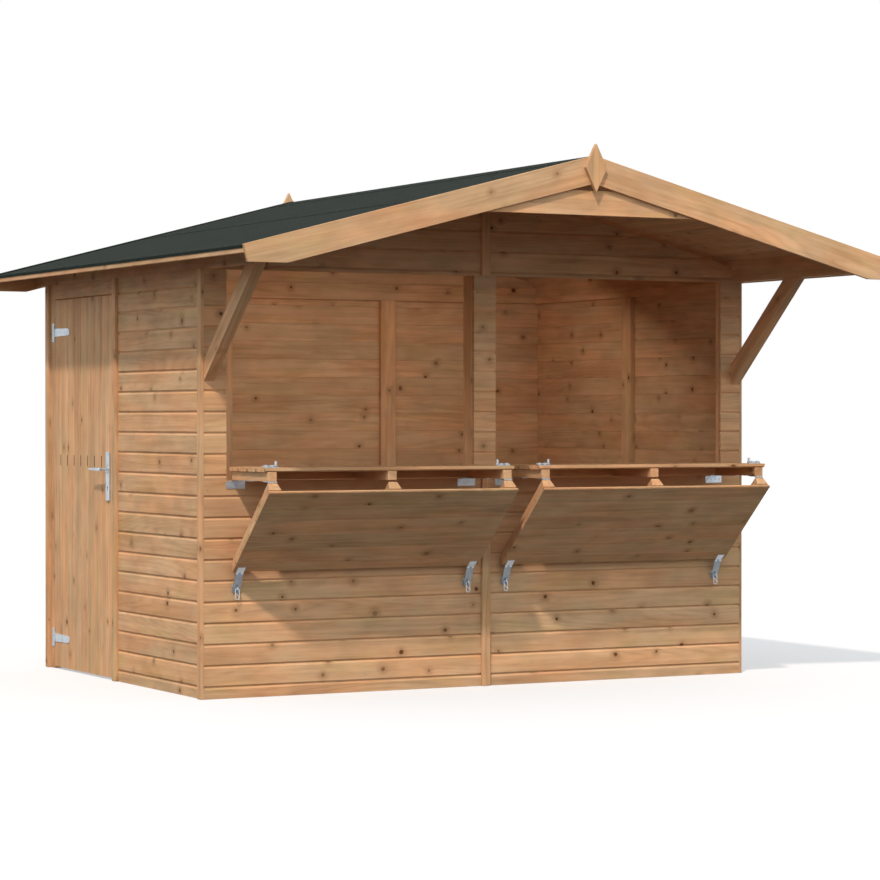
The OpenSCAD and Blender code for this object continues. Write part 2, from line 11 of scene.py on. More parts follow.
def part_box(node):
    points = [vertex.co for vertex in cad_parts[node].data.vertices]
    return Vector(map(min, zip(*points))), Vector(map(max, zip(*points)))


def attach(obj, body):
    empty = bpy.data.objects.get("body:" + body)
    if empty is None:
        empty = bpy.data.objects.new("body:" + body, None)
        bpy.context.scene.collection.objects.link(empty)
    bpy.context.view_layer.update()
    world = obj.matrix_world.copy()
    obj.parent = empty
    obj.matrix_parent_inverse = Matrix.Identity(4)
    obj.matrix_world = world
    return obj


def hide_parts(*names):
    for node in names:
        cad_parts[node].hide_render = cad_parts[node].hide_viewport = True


bl_info = {
    "name": "Market stall looks",
    "version": (1, 0, 0),
    "blender": (4, 5, 0),
    "location": "3D View > Sidebar > Stall",
    "description": "Boards, felt, fixings, finishes and stage of a wooden market stall",
    "category": "Object",
}

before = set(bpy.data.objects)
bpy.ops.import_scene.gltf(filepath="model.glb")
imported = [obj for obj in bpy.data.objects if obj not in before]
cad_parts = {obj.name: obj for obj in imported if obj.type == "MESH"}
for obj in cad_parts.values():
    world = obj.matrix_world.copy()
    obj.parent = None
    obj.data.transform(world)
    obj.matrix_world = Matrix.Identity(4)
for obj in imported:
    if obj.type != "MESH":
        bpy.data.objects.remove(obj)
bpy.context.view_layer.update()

X, Y, Z = (Vector(axis) for axis in ((1, 0, 0), (0, 1, 0), (0, 0, 1)))
AXES = (X, Y, Z)
IX, IY, IZ = range(3)
SIDES = {"left": -1, "right": 1}

# Places from the part, in metres. FRONT_Y is the outer face of the front boards
FRONT_Y = -0.6
HALF_W = 1.484
SILL_Z = 1.01
KNUCKLE_R = 0.0035
HINGE_T = 0.003
LEAF_MID_X = 0.715
LEAF_W = 1.292
LEAF_BATTEN_X = 0.6105
HASP_X = 0.61
INNER_FACE = 0.0645
COUNTER_L = 0.40603
SUPPORT_L = 0.54997
SUPPORT_TURN = math.radians(137.2)
HASP_TILT = math.radians(22)
HASP_OVERHANG = 0.011
HASP_GAP = 0.008
STAPLE_FROM_END = 0.022
STAPLE_REACH = 0.009
STAPLE_H = 0.01
STAPLE_R = 0.0025
BOLT_INSET = 0.04
BOLT_PLATE_L = 0.07
PLATE_T = 0.002
HATCH_GAP = 0.009
DOOR_FREE_Y = 0.506
DOOR_AXIS_Y = 1.327
DOOR_HINGES_Z = (0.16, 1.743)
LEVER_INSET = 0.07
LEVER_Z = 1.045
HANDLE_PLATE_T = 0.008
# Ways that the grain of the braces runs
BRACE_WAY = Vector((0, -575, 520)).normalized()
DOOR_BRACE_WAY = Vector((0, -0.61, 0.79))
# Edges of the two serving openings, from the middle
OPENING_IN_X = 0.06
OPENING_OUT_X = 1.37
# A joint of the door boards, and the short slots in those joints at the lever's height
DOOR_JOINT_Y = 0.489
SLOTTED_JOINTS = range(2, 9)
SLOT_Z = (1.056, 1.11)
SLOT_HALF_W = 0.005
SLOT_PROUD = 0.0003
SLOT_IN = 0.004
SLOT_RIM = 0.0006
SLOT_DISH = 0.0008
# Boards of the support leaves, and the gap that they keep at the fold
LEAF_T = 0.019
LEAF_FOLD_GAP = 0.0025
# Roof boards reach past both ends before they are cut there
ROOF_SPARE = 0.02
ROOF_JOINT_X = 0.01
# Rail between a counter's battens, along its hinges, set in from their faces
RAIL_W = 0.045
RAIL_INSET = 0.002
RAIL_LIFT = 0.0003
RAIL_MARKS = {"left": 0.2, "right": 0.4}
# Tongue and its groove, as shares of a board's thickness, and the gap left between two boards on
# their plain face
TONGUE = 0.32
TONGUE_GROOVE = 0.4
SEAM_GAP = 0.0004
# Ends of the felt's top sheet and ridge strip, down the slope from the ridge
SHEET_REACH = 0.92
RIDGE_REACH = 0.15
FELT_INSET = 0.001
# Felt turned up over the rear barge boards
VERGE_LAP = 0.03
VERGE_RISE = 0.006
VERGE_SPARE = 0.01
VERGE_INSET = 0.0005
VERGE_END_INSET = 0.0002
# Felt nails: their heads, their rows in from the edges, and how far they stray
NAIL_T = 0.0012
NAIL_RIM = 0.0018
NAIL_DOME = 0.0004
NAIL_INSET = 0.03
NAIL_LAP_INSET = 0.02
NAIL_VERGE_INSET = 0.025
NAIL_RIDGE_START = 0.2
NAIL_VERGE_SPARE = 0.3
NAIL_STRAY = 0.006
# Eased edges of the steel, and the weld and the angle that easing starts from
STEEL_EASED = 0.0004
WELD_REACH = 0.00002
EASED_ANGLE = math.radians(30)
# A quarter turn, and the one that makes an upright cylinder or ring face the front
QUARTER = math.radians(90)
FACING_FRONT = (QUARTER, 0, 0)
# Camera: fitted to the photograph's vanishing points and outline
CAMERA_PLACE = (-6.8263, -12.8432, 1.2997)
CAMERA_TURN = (math.radians(89.5646), 0, math.radians(-28.2505))
CAMERA_LENS = 118.11
CAMERA_FILM = 36
CAMERA_REACH = 200
# Light: a sun from the front left, an even sky that glows most low in front, and a soft lamp
# under the roof for the light that a real room scatters
SUN_PLACE = (-4, -6, 7)
SUN_WAY = (0.9, 1, -1.6)
SUN_COLOUR = (1, 0.88, 0.78)
EVEN_LIGHT = 0.7
GLOW = 0.46
GLOW_FROM_FRONT = 0.42
SKY_COLOUR = (0.95, 0.99, 1, 1)
INSIDE_PLACE = (-0.05, 0.3, 1.9)
INSIDE_TURN = (math.radians(25), 0, 0)
INSIDE_SIZE = (2.4, 1.2)
INSIDE_COLOUR = (1, 0.9, 0.8)
# Floor, and the lift that brings it to white where the camera sees it
FLOOR_SIZE = 120
FLOOR_DROP = 0.001
LIFT = 0.42
LIFT_COLOUR = (0.97, 1, 1.04, 1)
# A face or an edge this near an axis lies along it, and a point this near a plane lies in it
ALIGNED = 0.9
TOUCHING = 1e-5


# Modelling helpers

def deselect():
    if bpy.context.object and bpy.context.object.mode != "OBJECT":
        bpy.ops.object.mode_set(mode="OBJECT")
    bpy.ops.object.select_all(action="DESELECT")


def select(obj, *others):
    deselect()
    for other in (obj, *others):
        other.select_set(True)
    bpy.context.view_layer.objects.active = obj


def edit(obj):
    select(obj)
    bpy.ops.object.mode_set(mode="EDIT")
    bpy.ops.mesh.select_all(action="SELECT")


def done():
    bpy.ops.object.mode_set(mode="OBJECT")


def pick(obj, kind, wanted):
    """Select the faces or the edges of the mesh in edit mode that pass a test."""
    bpy.ops.mesh.select_mode(type=kind)
    bpy.ops.mesh.select_all(action="DESELECT")
    mesh = bmesh.from_edit_mesh(obj.data)
    for part in mesh.faces if kind == "FACE" else mesh.edges:
        if wanted(part):
            part.select_set(True)
    bmesh.update_edit_mesh(obj.data)


def add_box(name, low, high):
    deselect()
    low, high = Vector(low), Vector(high)
    bpy.ops.mesh.primitive_cube_add(size=1, location=(low + high) / 2, scale=high - low)
    obj = bpy.context.object
    obj.name = obj.data.name = name
    bpy.ops.object.transform_apply(location=True, rotation=False, scale=True)
    return obj


def add_cylinder(vertices, radius, depth, centre, rotation=(0, 0, 0)):
    deselect()
    bpy.ops.mesh.primitive_cylinder_add(vertices=vertices, radius=radius, depth=depth,
                                        location=centre, rotation=rotation)
    bpy.ops.object.transform_apply()
    return bpy.context.object


def extrude(way):
    bpy.ops.mesh.extrude_region_move(TRANSFORM_OT_translate={"value": way})


def cut(obj, point, normal):
    """Cut off what lies beyond a plane, and close the cut."""
    edit(obj)
    bpy.ops.mesh.bisect(plane_co=point, plane_no=normal, use_fill=True, clear_outer=True)
    done()


def turn(obj, angle, axis, centre):
    """Turn a mesh about an axis through a point, by the right-hand rule."""
    edit(obj)
    bpy.ops.transform.rotate(value=-angle, orient_axis=axis, center_override=centre)
    done()


def mark(obj, value):
    """Give every point of a piece the number that its grain and tint start from."""
    attribute = obj.data.attributes.new("board", "FLOAT", "POINT")
    attribute.data.foreach_set("value", [value] * len(obj.data.vertices))


def repeat(pattern, places, name, seed=0):
    """Copy a piece to each place, every copy with its own mesh, and join the copies."""
    draw = random.Random(seed)
    copies = []
    for place in places:
        copy = pattern.copy()
        copy.data = pattern.data.copy()
        copy.data.transform(place)
        bpy.context.scene.collection.objects.link(copy)
        mark(copy, draw.random())
        copies.append(copy)
    bpy.data.objects.remove(pattern)
    return join(name, copies)


def join(name, pieces):
    select(*pieces)
    if len(pieces) > 1:
        bpy.ops.object.join()
    obj = bpy.context.view_layer.objects.active
    obj.name = obj.data.name = name
    return obj


def finish_piece(obj, material, body, slot, *replaced):
    obj.data.materials.clear()
    obj.data.materials.append(material)
    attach(obj, body)
    if replaced:
        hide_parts(*replaced)


def set_finish(node, material, eased=0.0):
    """Give a node of the part its finish, and ease its edges."""
    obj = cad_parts[node]
    obj.data.materials.clear()
    obj.data.materials.append(material)
    if eased:
        weld = obj.modifiers.new("Weld", "WELD")
        weld.merge_threshold = WELD_REACH
        bevel = obj.modifiers.new("Eased edges", "BEVEL")
        bevel.width = eased
        bevel.segments = 2
        bevel.limit_method = "ANGLE"
        bevel.angle_limit = EASED_ANGLE


# Boards

def add_course(low, high, grain, stack, facing, groove, seam, gap):
    """One board with a tongue, a groove for the next one, and cut-back long edges.

    The numbers of its axes are grain, along the board, and stack, toward the next board. The outer
    face looks along facing on the third axis.
    """
    across = 3 - grain - stack
    low, high = Vector(low), Vector(high)
    high[stack] -= gap
    thick = high[across] - low[across]
    obj = add_box("board", low, high)
    edit(obj)
    for part in (1, 2):
        point = low.copy()
        point[across] += thick * part / 3
        bpy.ops.mesh.select_all(action="SELECT")
        bpy.ops.mesh.bisect(plane_co=point, plane_no=AXES[across])
    middle = (low[across] + high[across]) / 2

    def strip(side):
        return lambda face: (face.normal[stack] * side > ALIGNED
                             and abs(face.calc_center_median()[across] - middle) < thick / 6)

    def plain_third(face):
        centre = face.calc_center_median()
        return (abs(face.normal[stack]) > ALIGNED and abs(centre[stack] - high[stack]) < TOUCHING
                and (centre[across] - middle) * facing < -thick / 6)

    pick(obj, "FACE", strip(1))
    extrude(AXES[stack] * thick * TONGUE)
    pick(obj, "FACE", strip(-1))
    extrude(AXES[stack] * thick * TONGUE_GROOVE)
    pick(obj, "FACE", plain_third)
    bpy.ops.transform.translate(value=AXES[stack] * (gap - SEAM_GAP))
    for side, width in ((facing, groove), (-facing, seam)):
        level = high[across] if side > 0 else low[across]

        def long_edge(edge):
            a, b = (v.co for v in edge.verts)
            along = abs((b - a).normalized()[grain]) > ALIGNED
            return along and abs(a[across] - level) < TOUCHING

        pick(obj, "EDGE", long_edge)
        bpy.ops.mesh.bevel(offset=width, segments=1, affect="EDGES")
    done()
    return obj


def board_field(name, low, high, grain, stack, facing, first, seed, trim=True):
    """Boards side by side over a box, with their joints one cover apart from a first one."""
    sizes = bpy.context.scene.stall_boards
    pitch = sizes.door_cover if name.startswith("door") else sizes.cover
    seam = sizes.seam
    groove = sizes.groove
    if name.startswith("roof"):
        groove = sizes.roof_groove
    elif name.startswith("door"):
        groove = sizes.door_groove
    low, high = Vector(low), Vector(high)
    rounding = 1e-6
    start = first + math.floor((low[stack] - first) / pitch + rounding) * pitch
    count = math.ceil((high[stack] - start) / pitch - rounding)
    one_low, one_high = low.copy(), high.copy()
    one_low[stack], one_high[stack] = start, start + pitch
    pattern = add_course(one_low, one_high, grain, stack, facing, groove, seam, sizes.gap)
    places = [Matrix.Translation(AXES[stack] * pitch * n) for n in range(count)]
    obj = repeat(pattern, places, name, seed)
    if trim:
        cut(obj, low, -AXES[stack])
        cut(obj, high, AXES[stack])
    return obj


# Shading helpers

def add_node(tree, kind, inputs=None, **settings):
    node = tree.nodes.new("ShaderNode" + kind)
    for name, value in settings.items():
        setattr(node, name, value)
    for name, value in (inputs or {}).items():
        if isinstance(value, bpy.types.NodeSocket):
            tree.links.new(value, node.inputs[name])
        else:
            node.inputs[name].default_value = value
    return node


def calc(tree, operation, a, b=0.0, c=0.0):
    return add_node(tree, "Math", {0: a, 1: b, 2: c}, operation=operation).outputs[0]


def times(tree, a, b, plus=None):
    """a times b, or a times b plus a third value."""
    if plus is None:
        return calc(tree, "MULTIPLY", a, b)
    return calc(tree, "MULTIPLY_ADD", a, b, plus)


def vector_calc(tree, operation, a, b):
    return add_node(tree, "VectorMath", {0: a, 1: b}, operation=operation).outputs[0]


def mix(tree, factor, a, b, blend="MIX"):
    node = add_node(tree, "Mix", {0: factor, 6: a, 7: b}, data_type="RGBA", blend_type=blend)
    return node.outputs[2]


def span(tree, value, low, high, to_low=0.0, to_high=1.0, smooth=True):
    """Map a range of a value to another range, with its ends held."""
    node = add_node(tree, "MapRange", {0: value, 1: low, 2: high, 3: to_low, 4: to_high},
                    interpolation_type="SMOOTHSTEP" if smooth else "LINEAR")
    return node.outputs[0]


def noise(tree, vector, scale=1.0, detail=2.0, roughness=0.5):
    node = add_node(tree, "TexNoise", {"Vector": vector, "Scale": scale, "Detail": detail,
                                       "Roughness": roughness})
    return node.outputs["Fac"]


def stretched(tree, vector, stretch, detail=2.0, roughness=0.5):
    """Noise with so many features to the metre along each axis."""
    return noise(tree, vector_calc(tree, "MULTIPLY", vector, stretch), 1.0, detail, roughness)


def scaled(colour, share):
    return [c * share for c in colour] + [1]


def new_group(name, inputs, outputs):
    tree = bpy.data.node_groups.new(name, "ShaderNodeTree")
    for way, sockets in (("INPUT", inputs), ("OUTPUT", outputs)):
        for label, kind in sockets:
            tree.interface.new_socket(label, in_out=way, socket_type="NodeSocket" + kind)
    return tree, tree.nodes.new("NodeGroupInput").outputs, tree.nodes.new("NodeGroupOutput").inputs


def spruce_group():
    """Planed spruce: fibres, growth rings, knots that bend the grain, and uneven dip stain."""
    found = bpy.data.node_groups.get("Spruce")
    if found:
        return found
    cells_along, cells_across = 3.1, 10.0
    widest_knot = 0.0092
    ring_count = 17.0
    tree, given, out = new_group("Spruce", [
        ("Vector", "Vector"), ("Light", "Color"), ("Dark", "Color"), ("Knot", "Color"),
        ("Knots", "Float"),
    ], [("Color", "Color"), ("Roughness", "Float"), ("Height", "Float")])

    board = add_node(tree, "Attribute", attribute_name="board").outputs["Fac"]
    own = add_node(tree, "ObjectInfo").outputs["Random"]
    start = calc(tree, "ADD", board, own)
    chance = add_node(tree, "TexWhiteNoise", {"W": start}, noise_dimensions="1D").outputs["Color"]
    shift = vector_calc(tree, "MULTIPLY", chance, (31.0, 17.0, 13.0))
    place = vector_calc(tree, "ADD", given["Vector"], shift)
    sway = calc(tree, "SUBTRACT", stretched(tree, place, (0.9, 3, 3)), 0.5)
    drift = add_node(tree, "CombineXYZ", {1: times(tree, sway, 0.03)}).outputs[0]
    fibre_at = vector_calc(tree, "ADD", place, drift)

    parts = add_node(tree, "SeparateXYZ", {0: fibre_at}).outputs
    across = times(tree, parts["Z"], 0.83, parts["Y"])
    cell_at = add_node(tree, "CombineXYZ", {0: times(tree, parts["X"], cells_along),
                                            1: times(tree, across, cells_across)}).outputs[0]
    cells = add_node(tree, "TexVoronoi", {"Vector": cell_at, "Scale": 1.0, "Randomness": 0.85},
                     voronoi_dimensions="2D")
    centre = add_node(tree, "SeparateXYZ", {0: cells.outputs["Position"]}).outputs
    odds = add_node(tree, "SeparateColor", {0: cells.outputs["Color"]}).outputs
    along_d = times(tree, centre["X"], -1 / cells_along, parts["X"])
    across_d = times(tree, centre["Y"], -1 / cells_across, across)
    wobble = times(tree, noise(tree, place, 70.0, 2.0), 0.008, -0.004)
    along_d = times(tree, along_d, 0.8)
    reach = times(tree, across_d, across_d, times(tree, along_d, along_d))
    reach = calc(tree, "ADD", calc(tree, "SQRT", reach), wobble)
    radius = span(tree, odds[0], 0.28, 1.0, 0.0, widest_knot, False)
    radius = times(tree, radius, given["Knots"])
    depth = calc(tree, "SUBTRACT", radius, reach)
    has_knot = span(tree, radius, 0.0015, 0.003)
    core = times(tree, span(tree, depth, -0.0012, 0.0008), has_knot)
    bark = times(tree, span(tree, depth, -0.0035, -0.0005), has_knot)
    halo = times(tree, span(tree, depth, -0.045, 0.0), has_knot)
    sound = span(tree, odds[1], 0.4, 0.85)

    field = stretched(tree, fibre_at, (0.55, 6.5, 6.5), 1.0, 0.4)
    level = times(tree, times(tree, halo, halo), 0.035, field)
    rings = calc(tree, "FRACT", times(tree, level, ring_count))
    rings = calc(tree, "ABSOLUTE", times(tree, rings, 2.0, -1.0))
    rings = calc(tree, "POWER", rings, 2.2)
    streak = stretched(tree, fibre_at, (1.4, 42, 42), 3.0, 0.55)
    fibre = stretched(tree, fibre_at, (11, 480, 480), 2.0, 0.6)
    blotch = stretched(tree, place, (1.7, 5.5, 5.5), 3.0, 0.6)
    stain = stretched(tree, place, (4.5, 9, 9), 2.0, 0.5)

    clear = stretched(tree, place, (0.8, 9, 9), 1.0, 0.5)
    rings = times(tree, rings, span(tree, clear, 0.35, 0.65, 0.3, 1.0))
    tone = times(tree, rings, 0.3)
    tone = times(tree, span(tree, streak, 0.3, 0.7), 0.4, tone)
    tone = times(tree, span(tree, fibre, 0.25, 0.75), 0.3, tone)
    colour = mix(tree, tone, given["Light"], given["Dark"])
    blushed = mix(tree, 1.0, colour, (1.06, 0.9, 0.82, 1), "MULTIPLY")
    colour = mix(tree, span(tree, blotch, 0.35, 0.65), colour, blushed)
    olive = mix(tree, 1.0, colour, (0.97, 1.0, 0.92, 1), "MULTIPLY")
    moss = stretched(tree, place, (2.6, 8, 8), 2.0, 0.5)
    colour = mix(tree, span(tree, moss, 0.5, 0.7), colour, olive)
    shade = span(tree, stain, 0.25, 0.75, 0.89, 1.12)
    shade = times(tree, shade, span(tree, chance, 0.0, 1.0, 0.9, 1.08, False))
    level_colour = add_node(tree, "CombineColor", {0: shade, 1: shade, 2: shade}).outputs[0]
    colour = mix(tree, 1.0, colour, level_colour, "MULTIPLY")
    brown = mix(tree, 0.5, given["Dark"], given["Knot"])
    colour = mix(tree, times(tree, calc(tree, "POWER", halo, 3.0), 0.45), colour, brown)
    colour = mix(tree, times(tree, bark, 0.55), colour, brown)
    heart = mix(tree, sound, brown, given["Knot"])
    colour = mix(tree, times(tree, core, 0.9), colour, heart)

    height = times(tree, fibre, 0.5, times(tree, rings, 0.25))
    height = times(tree, core, 0.5, height)
    tree.links.new(colour, out["Color"])
    tree.links.new(span(tree, tone, 0.0, 1.0, 0.58, 0.78), out["Roughness"])
    tree.links.new(height, out["Height"])
    return tree


def new_material(name):
    material = bpy.data.materials.new(name)
    material.use_nodes = True
    tree = material.node_tree
    return material, tree, tree.nodes["Principled BSDF"]


def dress(tree, shader, colour, roughness, bump=None, invert=False, **rest):
    """Wire a finish into its shader. Its bump is given as strength, distance and height."""
    tree.links.new(colour, shader.inputs["Base Color"])
    tree.links.new(roughness, shader.inputs["Roughness"])
    if bump:
        sockets = dict(zip(("Strength", "Distance", "Height"), bump))
        node = add_node(tree, "Bump", sockets, invert=invert)
        tree.links.new(node.outputs[0], shader.inputs["Normal"])
    for name, value in rest.items():
        shader.inputs[name].default_value = value


def spruce(name, grain, knots=1.0, tint=1.0, roll=0.0):
    """Spruce whose grain runs along a direction, rolled about it."""
    found = bpy.data.materials.get(name)
    if found:
        return found
    finish = bpy.context.scene.stall_finish
    material, tree, shader = new_material(name)
    rotation = Vector(grain).rotation_difference(X).to_euler()
    rotation.x += roll
    place = add_node(tree, "TexCoord").outputs["Object"]
    grain_at = add_node(tree, "Mapping", {"Vector": place, "Rotation": rotation}).outputs[0]
    wood = add_node(tree, "Group", {
        "Vector": grain_at, "Light": scaled(finish.light, tint),
        "Dark": scaled(finish.dark, tint), "Knot": scaled(finish.knot, 1), "Knots": knots,
    }, node_tree=spruce_group()).outputs
    dress(tree, shader, wood["Color"], wood["Roughness"], (0.35, 0.0008, wood["Height"]),
          **{"Specular IOR Level": 0.12})
    return material


def felt_finish():
    """Bitumen felt with crushed mineral granules pressed into it."""
    found = bpy.data.materials.get("mineral felt")
    if found:
        return found
    finish = bpy.context.scene.stall_finish
    material, tree, shader = new_material("mineral felt")
    place = add_node(tree, "TexCoord").outputs["Object"]
    grains = add_node(tree, "TexVoronoi", {"Vector": place, "Scale": 420.0})
    speck = add_node(tree, "SeparateColor", {0: grains.outputs["Color"]}).outputs[0]
    wide = noise(tree, place, 3.0, 4.0, 0.6)
    base = [*finish.felt, 1]
    pale = scaled(finish.felt, 1.9)
    dark = scaled(finish.felt, 0.45)
    colour = mix(tree, span(tree, speck, 0.3, 1.0), dark, base)
    colour = mix(tree, span(tree, speck, 0.86, 0.98), colour, pale)
    colour = mix(tree, span(tree, wide, 0.35, 0.7, 0.0, 0.35), colour, dark)
    dress(tree, shader, colour, span(tree, speck, 0, 1, 0.9, 1.0),
          (0.6, 0.001, grains.outputs["Distance"]), invert=True, **{"Specular IOR Level": 0.08})
    return material


def zinc_finish(name="zinc plate", tint=1.0):
    """Bright zinc plate with spangle, handling marks and fine rolling lines."""
    found = bpy.data.materials.get(name)
    if found:
        return found
    finish = bpy.context.scene.stall_finish
    material, tree, shader = new_material(name)
    place = add_node(tree, "TexCoord").outputs["Object"]
    spangle = add_node(tree, "TexVoronoi", {"Vector": place, "Scale": 160.0})
    facet = add_node(tree, "SeparateColor", {0: spangle.outputs["Color"]}).outputs[0]
    smear = noise(tree, place, 26.0, 4.0, 0.65)
    scratch = stretched(tree, place, (60, 900, 900), 2.0, 0.6)
    bright = scaled(finish.zinc, tint)
    dull = scaled(finish.zinc, tint * 0.72)
    colour = mix(tree, span(tree, facet, 0, 1, 0.0, 0.35), bright, dull)
    colour = mix(tree, span(tree, smear, 0.45, 0.75, 0.0, 0.6), colour, dull)
    rough = times(tree, span(tree, smear, 0.3, 0.7), 0.2, 0.3)
    rough = times(tree, scratch, 0.1, rough)
    dress(tree, shader, colour, rough, (0.12, 0.0005, scratch), Metallic=0.85)
    return material


def painted_shade_finish():
    """Painted shade for slots and holes: near-black and dark brown, mottled by noise, for their
    unlit inside.
    """
    found = bpy.data.materials.get("painted shade slot")
    if found:
        return found
    material, tree, shader = new_material("painted shade slot")
    place = add_node(tree, "TexCoord").outputs["Object"]
    shade_mottle = noise(tree, place, 300.0, 3.0, 0.6)
    # Near-black and dark brown of painted shade, in place of the shade inside a slot or hole
    shade_black, shade_brown = (0.012, 0.008, 0.006, 1), (0.05, 0.032, 0.02, 1)
    colour = mix(tree, span(tree, shade_mottle, 0.4, 0.8), shade_black, shade_brown)
    dress(tree, shader, colour, span(tree, shade_mottle, 0.3, 0.7, 0.7, 0.95))
    return material


# Frames of the moving pieces, as they stand in the part

def at(x, y, z):
    return Matrix.Translation((x, y, z))


def turned(angle, axis):
    return Matrix.Rotation(angle, 4, axis)


def counter_frame(side):
    return at(side * LEAF_MID_X, FRONT_Y - KNUCKLE_R, SILL_Z) @ turned(QUARTER, "X")


def support_frame(side):
    return counter_frame(side) @ at(0, 0, COUNTER_L) @ turned(SUPPORT_TURN, "X")


def hasp_pin(side):
    return support_frame(side) @ Vector((0, INNER_FACE + KNUCKLE_R, SUPPORT_L + HASP_OVERHANG))


def staple_place():
    """Where the strap of a hanging hasp meets its staple, as (y, z)."""
    pin = hasp_pin(1)
    strap_l = (FRONT_Y - pin.y - HASP_GAP) / math.sin(HASP_TILT)
    reach = strap_l - STAPLE_FROM_END
    return pin.y + reach * math.sin(HASP_TILT), pin.z - reach * math.cos(HASP_TILT)


def door_hinge_frame(z):
    return at(-HALF_W, DOOR_AXIS_Y, z) @ turned(QUARTER, "Y") @ turned(QUARTER, "X")


def lever_frame():
    return at(-HALF_W, DOOR_FREE_Y + LEVER_INSET, LEVER_Z) @ turned(-QUARTER, "Z")


# Settings

def number(name, description, default, **more):
    return bpy.props.FloatProperty(name=name, description=description, default=default, **more)


def length(name, description, default, least=0.0):
    return number(name, description, default, min=least, subtype="DISTANCE", unit="LENGTH")


def colour(name, description, default):
    return bpy.props.FloatVectorProperty(name=name, description=description, default=default,
                                         size=3, min=0, max=1, subtype="COLOR")


class StallBoards(bpy.types.PropertyGroup):
    cover: length(
        "Cover", "Distance between the joints of the wall, roof and leaf boards", 0.098, 0.05)
    first_joint: length("First joint", "Height of the lowest joint of the walls", 0.053)
    door_cover: length(
        "Door cover", "Distance between the joints of the door boards", 0.0945, 0.05)
    groove: length(
        "Groove", "Width of the cut-back edge of a board on its outer face", 0.0085, 0.001)
    door_groove: length(
        "Door groove", "Width of the cut-back edge of a door board on its outer face", 0.004, 0.001)
    roof_groove: length(
        "Roof groove", "Width of the cut-back edge of a roof board on its underside",
        0.0025, 0.0005)
    seam: length(
        "Seam", "Width of the eased edge of a board on its plain face", 0.0009, 0.0002)
    gap: length("Gap", "Open gap between two boards in front of the tongue", 0.0018)
    eased: length(
        "Eased edge", "Width of the eased edges of the framing and the trim", 0.0018, 0.0002)


class StallRoof(bpy.types.PropertyGroup):
    pitch: number("Pitch", "Slope of the roof", math.radians(14.5), subtype="ANGLE")
    nail_pitch: length("Nail spacing", "Distance between two felt nails", 0.1, 0.03)
    nail_r: length("Nail head", "Radius of a felt nail's head", 0.005, 0.001)
    lap_t: length("Felt", "Thickness of one layer of felt", 0.0016, 0.0005)


class StallFinish(bpy.types.PropertyGroup):
    light: colour("Early wood", "Colour of the light parts of the grain", (0.715, 0.462, 0.268))
    dark: colour("Late wood", "Colour of the dark parts of the grain", (0.46, 0.277, 0.143))
    knot: colour("Knots", "Colour of the knots", (0.13, 0.038, 0.004))
    felt: colour("Felt", "Colour of the felt's granules", (0.022, 0.032, 0.027))
    zinc: colour("Zinc", "Colour of the zinc plate", (0.56, 0.62, 0.68))


class StallStage(bpy.types.PropertyGroup):
    sun: number("Key light", "Strength of the key light", 2.4, min=0)
    softness: number(
        "Softness", "Angle that the key light fills", math.radians(3), subtype="ANGLE")
    fill: number("Fill light", "Strength of the light from all round", 1.0, min=0)
    inside: number(
        "Inside light", "Power of the soft light in the room, in watts", 10, min=0, unit="POWER")
    floor: number("Floor", "Brightness of the floor's colour", 0.5, min=0, max=1)
    bounce: number(
        "Bounce", "Share of the light that the floor throws back on the stall", 0.06, min=0, max=1)


# Operators

class STALL_OT_wall_boards(bpy.types.Operator):
    """Board the walls and the gables with grooved tongued boards"""
    bl_idname = "stall.wall_boards"
    bl_label = "Wall boards"
    bl_options = {"REGISTER", "UNDO"}

    def execute(self, context):
        first = context.scene.stall_boards.first_joint
        along_x = spruce("spruce boards along x", X)
        along_y = spruce("spruce boards along y", Y)
        for seed, (name, facing) in enumerate((("front_lower_wall", -1), ("rear_wall", 1))):
            low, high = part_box(name)
            obj = board_field(name + "_boards", low, high, IX, IZ, facing, first, seed=seed)
            finish_piece(obj, along_x, "stall", "timber", name)
        for seed, (name, facing) in enumerate((("left_wall", -1), ("right_wall", 1))):
            low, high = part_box(name)
            obj = board_field(name + "_boards", low, high, IY, IZ, facing, first, seed=seed + 7)
            finish_piece(obj, along_y, "stall", "timber", name)

        low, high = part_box("front_stiles")
        stiles = []
        for n, (x0, x1) in enumerate(((low.x, -OPENING_OUT_X), (-OPENING_IN_X, OPENING_IN_X),
                                      (OPENING_OUT_X, high.x))):
            stiles.append(board_field("stile", (x0, low.y, low.z), (x1, high.y, high.z),
                                      IX, IZ, -1, first, seed=n + 20))
        finish_piece(join("front_stile_boards", stiles), along_x, "stall", "timber", "front_stiles")

        for name, facing, seed in (("front_gable", -1, 31), ("rear_gable", 1, 32)):
            low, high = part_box(name)
            obj = board_field(name + "_boards", low, high, IX, IZ, facing, first, seed=seed)
            pitch = context.scene.stall_roof.pitch
            for side in (-1, 1):
                cut(obj, (0, 0, high.z), (side * math.sin(pitch), 0, math.cos(pitch)))
            finish_piece(obj, along_x, "stall", "timber", name)
        return {"FINISHED"}


